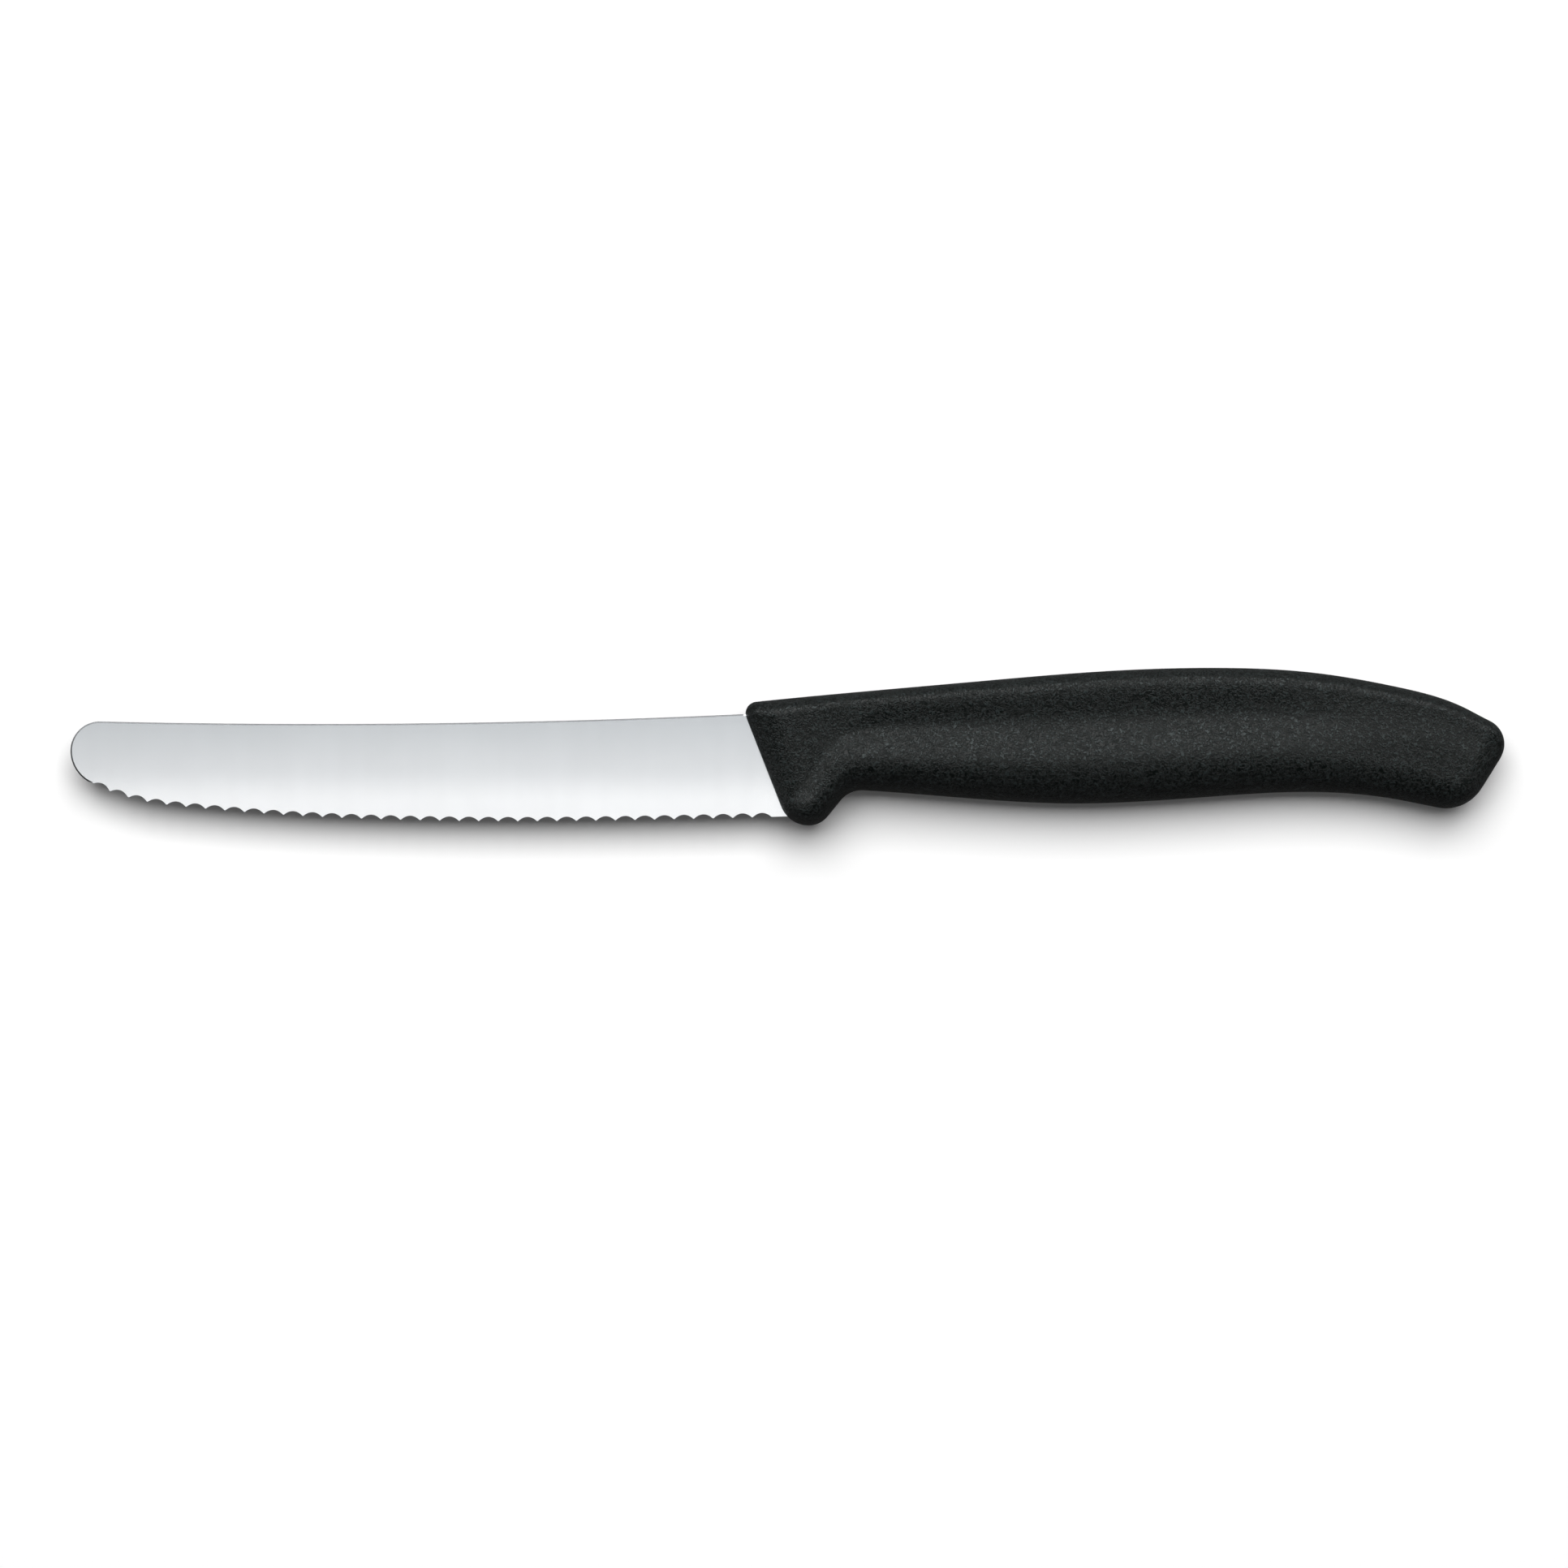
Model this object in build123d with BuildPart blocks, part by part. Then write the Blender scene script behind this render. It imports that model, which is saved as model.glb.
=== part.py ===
"""Tomato knife: a serrated blade with its tang, and the handle moulded round it.

The knife lies on its side. X runs from the tip to the butt, Y towards the spine
and Z up through the blade. The origin is below the middle of the whole knife.
All sizes are in millimetres and all angles in degrees.
"""

import os
from math import cos, pi, radians, sin, sqrt, tan

from build123d import *

# Driving dimensions of the whole knife
blade_length = 110.0
handle_length = 110.0
hump_rise = 12.1
guard_drop = 12.1
grip_half = 7.0

# Blade
blade_thickness = 1.2
edge_thickness = 0.4
spine_rise = 3.86
spine_waist_rise = 3.49
spine_heel_rise = 5.0
edge_drop = 11.42
heel_drop = 10.7
tip_spine_radius = 4.5
tip_edge_radius = 5.46
tip_edge_sweep = 66.0
heel_slope = 1.7
grind_gap = 0.1

# Places between the round tip and the heel, and how far the edge has dropped there
edge_run_shares = (0.054, 0.138, 0.278, 0.446, 0.643, 0.812)
edge_drop_shares = (0.373, 0.623, 0.834, 0.964, 1.0, 0.959)
spine_waist_share = 0.41

# Wavy edge: flutes ground across one face
tooth_pitch = 3.0
tooth_land = 0.25
flute_depth = 0.65
flute_bevel = 12.0
plain_heel = 1.9

# Tang inside the handle, and the plastic between its end and the butt
tang_end_cover = 32.0
tang_height = 8.5
heel_run = 6.5
heel_radius = 3.0
tang_end_radius = 2.5
key_diameter = 4.5
key_shares = (0.34, 0.76)

# Outline of the handle
front_slant = 21.4
front_top_rise = 4.45
front_corner_radius = 1.8
front_spine_slope = 6.0
lobe_run = 3.3
lobe_front_radius = 4.53
lobe_rear_radius = 3.7
guard_flank_slope = 51.0
guard_flank = 3.2
notch_radius = 4.2
notch_slope = 3.5
belly_drop = 8.72
hollow_drop = 6.95
butt_slant = 32.0
butt_corner_rise = 0.4
butt_corner_radius = 4.0
butt_spine_slope = 26.0
butt_flat = 5.7
butt_foot_radius = 6.2
butt_foot_slope = 11.0

# Handle outline places as shares of the handle's length, and heights as shares
# of the hump's rise and of the belly's and the hollow's drop
spine_run_shares = (0.079, 0.26, 0.442, 0.60, 0.736, 0.849, 0.94)
spine_rise_shares = (0.678, 0.824, 0.957, 1.0, 0.937, 0.762, 0.515)
belly_run_shares = (0.215, 0.396, 0.60)
belly_drop_shares = (0.87, 1.0, 0.872)
hollow_run_shares = (0.73, 0.849)
hollow_drop_shares = (1.0, 1.16)

# Flanks of the handle: half thicknesses of the front plateau, the ridge below the
# spine, the thumb valley and the butt. The grip's bulge has the full grip_half.
plateau_half = 5.25
ridge_half = 5.35
valley_half = 4.85
butt_half = 6.0
lip = 0.3
nose_radius = 4.4
butt_radius = 4.0

# Levels up the flank, as shares of the handle's height at that section
bulge_level_share = 0.31
valley_level_share = 0.66
ridge_level_share = 0.86
plateau_level_share = 0.70
butt_level_share = 0.50
spine_round_share = 0.13
slot_round_share = 0.10
plateau_foot_share = 0.20
grip_foot_share = 0.31

# Places along the handle, as shares of its outline's length from the front: where
# the plateau's foot widens into the grip's, where the leaning border of the plateau
# crosses the bulge and how wide it falls, and where the grip fades into the butt
foot_change_shares = (0.05, 0.19)
border_share = 0.049
border_lean_share = 0.214
border_fall_share = 0.05
butt_fade_shares = (0.60, 0.90)

# Sections of the handle, as shares of its outline's length from the front, and the
# number of steps between the points of a section
section_shares = (
    0, 0.008, 0.020, 0.034, 0.050, 0.068, 0.086, 0.104, 0.122, 0.140, 0.160, 0.182,
    0.21, 0.25, 0.30, 0.36, 0.43, 0.50, 0.57, 0.64, 0.71, 0.78, 0.84, 0.89, 0.925,
    0.95, 0.97, 0.985, 0.995, 1,
)
level_count = 12

# Places that follow from these sizes
tip_x = -(blade_length + handle_length) / 2
heel_x = tip_x + blade_length
butt_x = heel_x + handle_length
axis_y = (guard_drop - hump_rise) / 2
overrun = blade_thickness
mid_plane = Plane.XY.offset(grip_half)


def direction(angle):
    """Unit vector in the plane of the blade."""
    return Vector(cos(radians(angle)), sin(radians(angle)))


def ease(value, start, end):
    """Smooth step from 0 to 1 between two places."""
    step = min(max((value - start) / (end - start), 0), 1)
    return step * step * (3 - 2 * step)


def mix(first, second, share):
    """Value a share of the way from the first to the second."""
    return first + (second - first) * share


# Front line and butt line of the handle
lobe_point = Vector(heel_x + lobe_run, axis_y - guard_drop)
lobe_centre = lobe_point + Vector(0, lobe_front_radius)
front_foot = lobe_centre + direction(180 + front_slant) * lobe_front_radius
front_height = axis_y + front_top_rise - front_foot.Y
front_top = front_foot + Vector(-front_height * tan(radians(front_slant)), front_height)
butt_centre = Vector(butt_x - butt_corner_radius, axis_y + butt_corner_rise)
butt_top = butt_centre + direction(-butt_slant) * butt_corner_radius
butt_foot = butt_top - direction(90 - butt_slant) * butt_flat
foot_centre = butt_foot - direction(-butt_slant) * butt_foot_radius

# Lower and upper outline of the handle, from the front line to the butt line
with BuildLine() as lower_outline:
    CenterArc(lobe_centre, lobe_front_radius, 180 + front_slant, 90 - front_slant)
    rear_lobe = JernArc(lobe_point, (1, 0), lobe_rear_radius, guard_flank_slope)
    flank_end = rear_lobe @ 1 + direction(guard_flank_slope) * guard_flank
    Line(rear_lobe @ 1, flank_end)
    notch = JernArc(
        flank_end,
        direction(guard_flank_slope),
        notch_radius,
        -guard_flank_slope - notch_slope,
    )
    foot_start = foot_centre + direction(-90 - butt_foot_slope) * butt_foot_radius
    belly_points = [
        Vector(heel_x + run * handle_length, axis_y - drop * belly_drop)
        for run, drop in zip(belly_run_shares, belly_drop_shares)
    ]
    hollow_points = [
        Vector(heel_x + run * handle_length, axis_y - drop * hollow_drop)
        for run, drop in zip(hollow_run_shares, hollow_drop_shares)
    ]
    Spline(
        notch @ 1,
        *belly_points,
        *hollow_points,
        foot_start,
        tangents=(notch % 1, direction(-butt_foot_slope)),
    )
    CenterArc(
        foot_centre,
        butt_foot_radius,
        -90 - butt_foot_slope,
        90 + butt_foot_slope - butt_slant,
    )

with BuildLine() as upper_outline:
    front_corner = JernArc(
        front_top,
        direction(90 + front_slant),
        front_corner_radius,
        front_spine_slope - 90 - front_slant,
    )
    spine_end = butt_centre + direction(90 - butt_spine_slope) * butt_corner_radius
    spine_points = [
        Vector(heel_x + run * handle_length, axis_y + rise * hump_rise)
        for run, rise in zip(spine_run_shares, spine_rise_shares)
    ]
    Spline(
        front_corner @ 1,
        *spine_points,
        spine_end,
        tangents=(front_corner % 1, direction(-butt_spine_slope)),
    )
    CenterArc(
        butt_centre,
        butt_corner_radius,
        90 - butt_spine_slope,
        butt_spine_slope - butt_slant - 90,
    )


# Blade: its outline's fixed places
spine_y = axis_y + spine_heel_rise
edge_y = axis_y - edge_drop
tang_x = butt_x - tang_end_cover
tip_top = Vector(tip_x + tip_spine_radius, axis_y + spine_rise)
spine_run = front_top.X - tip_top.X
spine_waist = Vector(
    tip_top.X + spine_waist_share * spine_run, axis_y + spine_waist_rise
)
heel = Vector(heel_x, axis_y - heel_drop)
tang_foot = Vector(heel_x + heel_run, spine_y - tang_height)
key_places = [
    (mix(heel_x, tang_x, share), spine_y - tang_height / 2) for share in key_shares
]

# Grind: both faces lean in from the spine to the edge, up to the handle's front line
grind_top = spine_y + overrun
grind_bottom = edge_y - overrun
grind_plane = Plane(
    origin=(front_foot.X - grind_gap, front_foot.Y, grip_half),
    x_dir=(0, 0, 1),
    z_dir=-direction(front_slant),
)

# Flutes: each is one cylinder that leans by the bevel and leaves a scallop
flute_chord_half = (tooth_pitch - tooth_land) / 2
flute_rise = flute_depth * sin(radians(flute_bevel))
flute_radius = (flute_chord_half**2 + flute_rise**2) / (2 * flute_rise)
flute_run = 2 * (blade_thickness / sin(radians(flute_bevel)) + overrun)


def ground_half(height):
    """Half thickness of the ground blade at a height."""
    slope = (blade_thickness - edge_thickness) / 2 / (spine_y - edge_y)
    return edge_thickness / 2 + (height - edge_y) * slope


def along_front(height):
    """Distance up the handle's front line to a height."""
    return (height - front_foot.Y) / cos(radians(front_slant))


def flute_planes(edge):
    """Planes across the flutes, side by side along the edge."""
    planes = []
    for index in range(round((edge.length - plain_heel) / tooth_pitch)):
        place = (index + 0.5) * tooth_pitch
        along = edge.tangent_at(place, position_mode=PositionMode.LENGTH)
        inward = Vector(-along.Y, along.X)
        root = edge.position_at(place, position_mode=PositionMode.LENGTH)
        root = root + inward * flute_depth
        root = Vector(root.X, root.Y, grip_half + ground_half(root.Y))
        lean = radians(flute_bevel)
        axis = inward * cos(lean) - Vector(0, 0, sin(lean))
        normal = inward * sin(lean) + Vector(0, 0, cos(lean))
        planes.append(Plane(origin=root - normal * flute_radius, x_dir=along, z_dir=axis))
    return planes


# Blade: the flat blank with its tang, then ground and fluted
with BuildPart() as blank:
    with BuildSketch(mid_plane) as blade_profile:
        with BuildLine() as blade_outline:
            Spline((front_top.X, spine_y), spine_waist, tip_top)
            nose = CenterArc(
                tip_top - Vector(0, tip_spine_radius), tip_spine_radius, 90, 90
            )
            tip = JernArc(nose @ 1, (0, -1), tip_edge_radius, tip_edge_sweep)
            edge_start = tip @ 1
            edge_depth = edge_start.Y - axis_y + edge_drop
            edge_points = [
                Vector(
                    edge_start.X + run * (heel_x - edge_start.X),
                    edge_start.Y - drop * edge_depth,
                )
                for run, drop in zip(edge_run_shares, edge_drop_shares)
            ]
            edge = Spline(
                edge_start, *edge_points, heel, tangents=(tip % 1, direction(heel_slope))
            )
            Polyline(
                heel,
                tang_foot,
                (tang_x, tang_foot.Y),
                (tang_x, spine_y),
                (front_top.X, spine_y),
            )
        make_face()
        fillet(blade_profile.vertices().sort_by_distance(tang_foot)[0], heel_radius)
        fillet(blade_profile.vertices().group_by(Axis.X)[-1], tang_end_radius)
        with Locations(*key_places):
            Circle(key_diameter / 2, mode=Mode.SUBTRACT)
    extrude(amount=blade_thickness / 2, both=True)

with BuildPart() as blade:
    add(blank.part)
    with BuildSketch(grind_plane) as grind_profile:
        with BuildLine():
            Polyline(
                (ground_half(grind_bottom), along_front(grind_bottom)),
                (ground_half(grind_top), along_front(grind_top)),
                (ground_half(grind_top), along_front(grind_bottom)),
                close=True,
            )
        make_face()
        mirror(about=Plane.YZ)
    extrude(amount=blade_length, dir=(-1, 0, 0), mode=Mode.SUBTRACT)

    for flute_plane in flute_planes(edge):
        with Locations(flute_plane):
            Cylinder(flute_radius, flute_run, mode=Mode.SUBTRACT)

blade.part.label = "blade"


# Handle
slot_half = blade_thickness / 2 + lip
front_middle = (front_foot + front_top) / 2
butt_middle = (butt_foot + butt_top) / 2
lower = lower_outline.wires()[0]
upper = upper_outline.wires()[0]
level_shares = [(1 - cos(pi * step / level_count)) / 2 for step in range(level_count + 1)]


def round_rise(depth, reach):
    """Quarter circle from 0 at the edge to 1 at its reach."""
    left = max(1 - depth / reach, 0)
    return sqrt(max(1 - left * left, 0))


def flank_half(share, level):
    """Half thickness of the handle, away from its front and its butt."""
    plateau = mix(plateau_half, ridge_half, ease(level, plateau_level_share, ridge_level_share))
    butt = mix(butt_half, ridge_half, ease(level, butt_level_share, ridge_level_share))
    if level < valley_level_share:
        grip = mix(grip_half, valley_half, ease(level, bulge_level_share, valley_level_share))
    else:
        grip = mix(valley_half, ridge_half, ease(level, valley_level_share, ridge_level_share))
    fall = border_share + border_lean_share * (level - bulge_level_share)
    half = mix(plateau, grip, ease(share, fall, fall + border_fall_share))
    half = mix(half, butt, ease(share, *butt_fade_shares))
    foot_reach = mix(plateau_foot_share, grip_foot_share, ease(share, *foot_change_shares))
    return half * round_rise(level, foot_reach) * round_rise(1 - level, spine_round_share)


def slot_rim_half(level):
    """Half thickness of the thin rims at the two ends of the handle."""
    ends = round_rise(level, slot_round_share) * round_rise(1 - level, slot_round_share)
    return slot_half * ends


def section_points(share):
    """Points up the flank, across the handle at a share of its outline."""
    foot = lower.position_at(share)
    top = upper.position_at(share)
    middle = (foot + top) / 2
    front_depth = (middle - front_middle).dot(direction(front_slant))
    butt_depth = (butt_middle - middle).dot(direction(-butt_slant))
    fullness = round_rise(front_depth, nose_radius) * round_rise(butt_depth, butt_radius)
    points = []
    for level in level_shares:
        half = mix(slot_rim_half(level), flank_half(share, level), fullness)
        points.append(foot + (top - foot) * level + Vector(0, 0, grip_half + half))
    return points


def run_lengths(points):
    """Distances between neighbouring points."""
    return [(end - start).length for start, end in zip(points, points[1:])]


def flank_curve(points, places):
    """Curve up the flank that leaves and meets the mid-plane squarely."""
    pull = Vector(0, 0, sum(run_lengths(points)))
    return Edge.make_spline(points, tangents=(pull, -pull), parameters=places, scale=False)


# All sections share one spacing of their points, so the flank stays even between them
rows = [section_points(share) for share in section_shares]
runs = run_lengths(rows[len(rows) // 2])
point_places = [sum(runs[:count]) / sum(runs) for count in range(level_count + 1)]
curves = [flank_curve(row, point_places) for row in rows]
flank = Shell.make_loft([Wire([curve]) for curve in curves]).face()
ends = [Face(Wire([curve, curve.mirror(mid_plane)])) for curve in (curves[0], curves[-1])]
moulding = Solid(Shell([flank, flank.mirror(mid_plane), *ends]))

# The blank leaves its pocket in the moulding
with BuildPart() as handle:
    add(moulding)
    add(blank.part, mode=Mode.SUBTRACT)

handle.part.label = "handle"

os.makedirs("parts", exist_ok=True)
export_step(blade.part, "parts/blade.step")
export_step(handle.part, "parts/handle.step")
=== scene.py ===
"""Tomato knife lying on its side: the looks of the ground blade and the grained handle.

Sizes are written in millimetres times mm, and all places are in the frame's metres:
+X from the tip to the butt, +Y from the edge to the spine, +Z up to the viewer.
"""

from math import cos, pi, radians, sin, tan

import bpy
import numpy as np
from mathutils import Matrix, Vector


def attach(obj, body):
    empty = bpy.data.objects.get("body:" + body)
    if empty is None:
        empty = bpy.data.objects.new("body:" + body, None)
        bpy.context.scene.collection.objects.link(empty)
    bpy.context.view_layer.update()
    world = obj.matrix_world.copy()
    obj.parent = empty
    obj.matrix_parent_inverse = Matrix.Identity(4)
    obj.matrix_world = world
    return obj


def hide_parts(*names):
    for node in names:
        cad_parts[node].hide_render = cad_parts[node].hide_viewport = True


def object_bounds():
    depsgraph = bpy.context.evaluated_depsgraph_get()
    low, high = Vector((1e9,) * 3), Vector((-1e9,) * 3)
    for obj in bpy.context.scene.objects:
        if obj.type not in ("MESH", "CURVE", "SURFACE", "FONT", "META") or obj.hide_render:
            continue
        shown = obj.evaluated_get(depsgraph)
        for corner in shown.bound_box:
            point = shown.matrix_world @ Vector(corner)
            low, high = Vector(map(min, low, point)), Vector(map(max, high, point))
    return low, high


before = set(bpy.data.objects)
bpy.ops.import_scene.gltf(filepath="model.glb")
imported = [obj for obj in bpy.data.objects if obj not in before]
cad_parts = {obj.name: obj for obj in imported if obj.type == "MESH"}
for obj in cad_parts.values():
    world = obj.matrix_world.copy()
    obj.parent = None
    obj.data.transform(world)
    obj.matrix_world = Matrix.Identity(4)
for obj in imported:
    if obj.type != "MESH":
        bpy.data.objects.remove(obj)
cad_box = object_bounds()

mm = 0.001

# The whole knife
blade_length = 110.0 * mm
handle_length = 110.0 * mm
hump_rise = 12.1 * mm
guard_drop = 12.1 * mm
grip_half = 7.0 * mm
tip_x = -(blade_length + handle_length) / 2
heel_x = tip_x + blade_length
butt_x = heel_x + handle_length
axis_y = (guard_drop - hump_rise) / 2
blade_z = grip_half

# Blade
blade_thickness = 1.2 * mm
edge_thickness = 0.4 * mm
spine_rise = 3.86 * mm
spine_waist_rise = 3.49 * mm
spine_heel_rise = 5.0 * mm
spine_waist_share = 0.41
edge_drop = 11.42 * mm
heel_drop = 10.7 * mm
heel_slope = 1.7
tip_spine_radius = 4.5 * mm
tip_edge_radius = 5.46 * mm
tip_edge_sweep = 66.0
edge_run_shares = (0.054, 0.138, 0.278, 0.446, 0.643, 0.812)
edge_drop_shares = (0.373, 0.623, 0.834, 0.964, 1.0, 0.959)
spine_round = 0.25 * mm
spine_round_steps = 3

# Wavy edge
tooth_pitch = 3.0 * mm
tooth_land = 0.25 * mm
flute_depth = 0.65 * mm
flute_bevel = 12.0
plain_heel = 1.9 * mm
flute_sides = 192
crease_angle = 20.0

# Tang
tang_end_cover = 32.0 * mm
tang_height = 8.5 * mm
heel_run = 6.5 * mm

# Outline of the handle
front_slant = 21.4
front_top_rise = 4.45 * mm
front_corner_radius = 1.8 * mm
front_spine_slope = 6.0
lobe_run = 3.3 * mm
lobe_front_radius = 4.53 * mm
lobe_rear_radius = 3.7 * mm
guard_flank_slope = 51.0
guard_flank = 3.2 * mm
notch_radius = 4.2 * mm
notch_slope = 3.5
belly_drop = 8.72 * mm
hollow_drop = 6.95 * mm
butt_slant = 32.0
butt_corner_rise = 0.4 * mm
butt_corner_radius = 4.0 * mm
butt_spine_slope = 26.0
butt_flat = 5.7 * mm
butt_foot_radius = 6.2 * mm
butt_foot_slope = 11.0
spine_run_shares = (0.079, 0.26, 0.442, 0.60, 0.736, 0.849, 0.94)
spine_rise_shares = (0.678, 0.824, 0.957, 1.0, 0.937, 0.762, 0.515)
belly_run_shares = (0.215, 0.396, 0.60)
belly_drop_shares = (0.87, 1.0, 0.872)
hollow_run_shares = (0.73, 0.849)
hollow_drop_shares = (1.0, 1.16)

# Flanks of the handle: half thicknesses, levels up a section and places along it
plateau_half = 5.25 * mm
ridge_half = 5.35 * mm
valley_half = 4.85 * mm
butt_half = 6.0 * mm
slot_half = blade_thickness / 2 + 0.3 * mm
nose_radius = 4.4 * mm
butt_radius = 4.0 * mm
bulge_level_share = 0.31
valley_level_share = 0.66
ridge_level_share = 0.86
plateau_level_share = 0.70
butt_level_share = 0.50
spine_round_share = 0.13
slot_round_share = 0.10
plateau_foot_share = 0.20
grip_foot_share = 0.31
foot_change_shares = (0.05, 0.19)
border_share = 0.049
border_lean_share = 0.214
border_fall_share = 0.05
butt_fade_shares = (0.60, 0.90)
handle_sections = 280
handle_ring = 112
row_tolerance = 0.1 / handle_sections
joining_distance = 0.0001 * mm

# Spacing of the points of an outline
arc_step = 3.0
line_step = 0.4 * mm

# Places of the photograph's frame: its pixels, and the real size of one
picture_pixels = 1932
pixel = 0.12458 * mm
origin_column = 970
origin_row = 920
camera_lens = 150.0
camera_sensor = 36.0

# Ground steel: the wheel's strokes and bands, and a painted reflection that brightens it from the
# spine towards the edge
stroke_width = 0.22 * mm
stroke_length = 14.0 * mm
stroke_detail = 3.0
stroke_bump = 0.02 * mm
stroke_bump_strength = 0.25
band_width = 2.4 * mm
band_length = 30.0 * mm
band_detail = 2.0
streak_contrast = 0.05
# Painted reflection: the steel's colour goes from dim at the spine to bright at the edge, standing
# in for the light its faces mirror
painted_reflection_ramp_end = -3.0 * mm
painted_reflection_ease_heights = (-2.5 * mm, -9.0 * mm)
painted_reflection_ease_share = 0.62
spine_steel_painted_dim = (0.575, 0.60, 0.622, 1.0)
edge_steel_painted_bright = (0.935, 0.95, 0.962, 1.0)

# Stamped edge of the steel, with painted shade that darkens its colour where the rounded back
# mirrors dark surroundings
painted_shade_reach = 0.65 * blade_thickness
stamped_spot = 0.8 * mm
stamped_detail = 3.0
stamped_bump = 0.02 * mm
stamped_bump_strength = 0.3
darkest_painted_shade_steel = (0.10, 0.105, 0.11, 1.0)
palest_painted_shade_steel = (0.17, 0.175, 0.18, 1.0)

# Black plastic: the mould's grain with painted glints in its colour, and the shares and levels at
# which they start and end
plastic_specular = 0.17
plastic_ior = 1.49
plastic_ground = (0.0006, 0.0016, 0.0013, 1.0)
plastic_painted_glint = (0.021, 0.027, 0.027, 1.0)
grain_size = 0.42 * mm
grain_detail = 1.5
grain_fineness = 0.5
grain_twist = 1.4
grain_height = 0.11 * mm
grain_roughness = 0.04
grain_ridges = (0.40, 0.62)
grain_painted_glints = (0.53, 0.68)
grain_front_shares = (0.030, 0.044)
grain_foot_levels = (0.14, 0.27)
smooth_butt_shares = (0.84, 0.92)
smooth_butt_levels = (0.42, 0.25)

# Handling marks: their size, the roughness in the middle and its spread
steel_marks = (11.0 * mm, 0.24, 0.08)
stamped_marks = (4.0 * mm, 0.42, 0.15)
plastic_marks = (9.0 * mm, 0.32, 0.08)
mark_detail = 4.0
mark_fineness = 0.6

# Sheet under the knife: its reach in metres, its paleness, its painted shade in what a shine
# mirrors, and its glow to the camera
sheet_reach = 6.0
sheet_paleness = 0.97
# Painted shade: the sheet's paleness as a shine mirrors it
mirrored_sheet_painted_shade = 0.12
sheet_near_glow = 0.03
sheet_far_glow = 0.60
sheet_glow_distances = (0.25, 2.0)
sheet_roughness = 0.85
fibre_scale = 300.0
fibre_detail = 3.0
fibre_roughness = 0.1

# Key lamp: metres, degrees from straight above towards the spine, and watts
key_distance = 3.0
key_tilt = 23.5
key_width = 2.6
key_depth = 2.1
key_power = 114.0

# World: strengths, and the Y or Z of a direction between which one goes over into the next
fill_light = 0.07
background_light = 1.12
wall_light = 0.10
low_wall_light = 0.65
dark_low_wall_light = 0.14
window_light = 4.7
overhead_z = (0.945, 0.988)
wall_z = (0.30, 0.52)
dark_low_wall_y = (-0.72, -0.90)
window_y = (0.20, 0.42)
window_z = (-0.15, 0.15)


# Lines
def direction(angle):
    """Unit vector in the plane of the blade."""
    return np.array((cos(radians(angle)), sin(radians(angle))))


def arc(centre, radius, start, sweep):
    """Points of a circular arc, its angles in degrees."""
    count = max(int(abs(sweep) / arc_step), 2)
    return [centre + direction(start + sweep * i / count) * radius for i in range(count + 1)]


def bend(start, heading, radius, sweep):
    """Points of an arc that leaves a point along a heading and turns by a sweep."""
    side = 90 if sweep > 0 else -90
    centre = start + direction(heading + side) * radius
    return arc(centre, radius, heading - side, sweep)


def smooth(points, start_heading=None, end_heading=None):
    """Points of a cubic spline through some points, with set headings at its ends."""
    points = np.array(points)
    runs = np.linalg.norm(np.diff(points, axis=0), axis=1)
    places = np.concatenate(([0], np.cumsum(runs)))
    if start_heading is None:
        fit = [np.polyfit(places, points[:, axis], 2) for axis in (0, 1)]
        slopes = np.array([[2 * a * s + b for a, b, _ in fit] for s in places])
    else:
        count = len(points)
        matrix = np.zeros((count, count))
        right = np.zeros((count, 2))
        matrix[0, 0] = matrix[-1, -1] = 1
        right[0] = direction(start_heading)
        right[-1] = direction(end_heading)
        for i in range(1, count - 1):
            before, after = runs[i - 1], runs[i]
            matrix[i, i - 1 : i + 2] = 1 / before, 2 / before + 2 / after, 1 / after
            rise = (points[i] - points[i - 1]) / before**2 + (points[i + 1] - points[i]) / after**2
            right[i] = 3 * rise
        slopes = np.linalg.solve(matrix, right)
    line = [points[0]]
    for i, run in enumerate(runs):
        count = max(int(run / line_step), 2)
        for j in range(1, count + 1):
            t = j / count
            line.append(
                points[i] * (2 * t**3 - 3 * t**2 + 1)
                + slopes[i] * run * (t**3 - 2 * t**2 + t)
                + points[i + 1] * (3 * t**2 - 2 * t**3)
                + slopes[i + 1] * run * (t**3 - t**2)
            )
    return line


def joined(*lines):
    """One line from several that follow each other, without double points."""
    whole = list(lines[0])
    for line in lines[1:]:
        whole += list(line[1:])
    return whole


# Fixed places of the handle's outline
lobe_point = np.array((heel_x + lobe_run, axis_y - guard_drop))
lobe_centre = lobe_point + (0, lobe_front_radius)
front_foot = lobe_centre + direction(180 + front_slant) * lobe_front_radius
front_height = axis_y + front_top_rise - front_foot[1]
front_top = front_foot + (-front_height * tan(radians(front_slant)), front_height)
butt_centre = np.array((butt_x - butt_corner_radius, axis_y + butt_corner_rise))
butt_top = butt_centre + direction(-butt_slant) * butt_corner_radius
butt_foot = butt_top - direction(90 - butt_slant) * butt_flat
foot_centre = butt_foot - direction(-butt_slant) * butt_foot_radius


def handle_points(run_shares, rise_shares, rise):
    """Points at shares of the handle's length, and of a rise from its axis."""
    return [
        (heel_x + run * handle_length, axis_y + share * rise)
        for run, share in zip(run_shares, rise_shares)
    ]


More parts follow.
